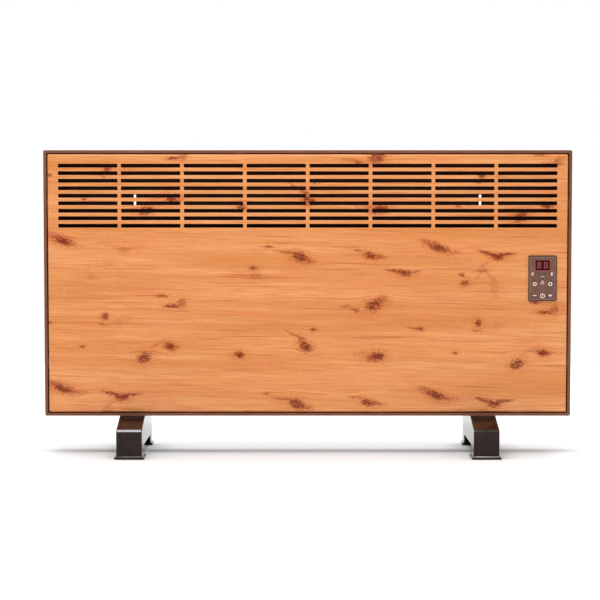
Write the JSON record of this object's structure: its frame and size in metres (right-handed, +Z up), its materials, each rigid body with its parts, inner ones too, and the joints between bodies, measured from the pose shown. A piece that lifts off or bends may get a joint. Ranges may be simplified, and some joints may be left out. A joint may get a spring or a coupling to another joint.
{
  "type": "panel convector heater",
  "caption": "Free-standing electric panel convector with a slotted wood-print front, finned heating elements, a display control plate and two moulded feet.",
  "frame": {"origin": "on the floor under the middle of the case, half-way between the feet's front and rear ends", "axes": "+X to the right seen from the front, -Y towards the front, +Z up"},
  "size_m": [0.892, 0.205, 0.516],
  "materials": {
    "case_paint": "satin brown powder coat",
    "back_paint": "dark brown powder coat",
    "wood_print": "steel sheet with a printed knotty pine film, satin",
    "zinc_steel": "zinc-plated sheet steel",
    "silicone": "silicone rubber",
    "fascia_plastic": "printed brown-grey plate, semi-gloss",
    "display_lens": "tinted dark red acrylic",
    "digit_light": "lit seven-segment bars",
    "black_plastic": "moulded black plastic",
    "lamp_plastic": "clear-pink light pipes",
    "key_plastic": "moulded caps with printed ring marks",
    "circuit_board": "glass-epoxy board with green solder mask",
    "screw_steel": "plated screws",
    "nylon": "natural heat-resistant nylon",
    "relay_plastic": "moulded blue relay covers",
    "capacitor_sleeve": "shrink sleeve",
    "brass": "plain brass",
    "element_aluminium": "extruded, as drawn",
    "core_steel": "heat-tinted steel sheath",
    "ceramic": "unglazed steatite",
    "pendulum_metal": "plain cast weight",
    "wire_insulation": "heat-resistant sleeving",
    "foot_plastic": "high-gloss dark brown moulding",
    "pad_rubber": "rubber"
  },
  "bodies": {
    "heater": {"case_frame": "case_paint", "back_panel": "back_paint", "front_panel": "wood_print", "panel_clips": "case_paint", "inlet_grille": "back_paint", "air_deflector": "back_paint", "heat_shield": "zinc_steel", "shield_grommet": "silicone", "wall_slot_plates": "back_paint", "control_fascia": "fascia_plastic", "display_window": "display_lens", "display_digits": "digit_light", "display_module": "black_plastic", "indicator_lamps": "lamp_plastic", "control_box": "black_plastic", "control_board": "circuit_board", "key_switches": "black_plastic", "board_screws": "screw_steel", "power_board": "circuit_board", "power_standoffs": "nylon", "relays": "relay_plastic", "power_module": "black_plastic", "capacitor": "capacitor_sleeve", "terminal_block": "nylon", "earth_stud": "brass", "element_left": "element_aluminium", "element_right": "element_aluminium", "heater_core_left": "core_steel", "heater_core_right": "core_steel", "ceramic_bushes": "ceramic", "core_terminals": "brass", "element_brackets": "zinc_steel", "cutout_bracket": "zinc_steel", "thermal_cutout": "nylon", "sensor_clip": "nylon", "room_sensor": "black_plastic", "tilt_switch_body": "nylon", "tilt_pin": "screw_steel", "tilt_microswitch": "black_plastic", "cable_gland": "black_plastic", "gland_nut": "black_plastic", "wiring": "wire_insulation", "foot_left": "foot_plastic", "foot_right": "foot_plastic", "foot_plates": "zinc_steel", "foot_screws": "screw_steel", "foot_pads": "pad_rubber", "case_screws": "screw_steel"},
    "key_timer": {"key_timer": "key_plastic"},
    "key_mode": {"key_mode": "key_plastic"},
    "key_minus": {"key_minus": "key_plastic"},
    "key_power": {"key_power": "key_plastic"},
    "key_plus": {"key_plus": "key_plastic"},
    "tilt_pendulum": {"tilt_pendulum": "pendulum_metal"}
  },
  "joints": [
    {"name": "key_timer_press", "type": "slide", "parent": "heater", "child": "key_timer", "axis": [0, 1, 0], "range_m": [0, 0.0005], "stiffness_N_per_m": 300, "springref_m": -0.0006},
    {"name": "key_mode_press", "type": "slide", "parent": "heater", "child": "key_mode", "axis": [0, 1, 0], "range_m": [0, 0.0005], "stiffness_N_per_m": 300, "springref_m": -0.0006},
    {"name": "key_minus_press", "type": "slide", "parent": "heater", "child": "key_minus", "axis": [0, 1, 0], "range_m": [0, 0.0005], "stiffness_N_per_m": 300, "springref_m": -0.0006},
    {"name": "key_power_press", "type": "slide", "parent": "heater", "child": "key_power", "axis": [0, 1, 0], "range_m": [0, 0.0005], "stiffness_N_per_m": 300, "springref_m": -0.0006},
    {"name": "key_plus_press", "type": "slide", "parent": "heater", "child": "key_plus", "axis": [0, 1, 0], "range_m": [0, 0.0005], "stiffness_N_per_m": 300, "springref_m": -0.0006},
    {"name": "tilt_pendulum_swing", "type": "hinge", "parent": "heater", "child": "tilt_pendulum", "pos_m": [0.397, -0.008, 0.1132], "axis": [1, 0, 0], "range_deg": [-25, 25]}
  ]
}
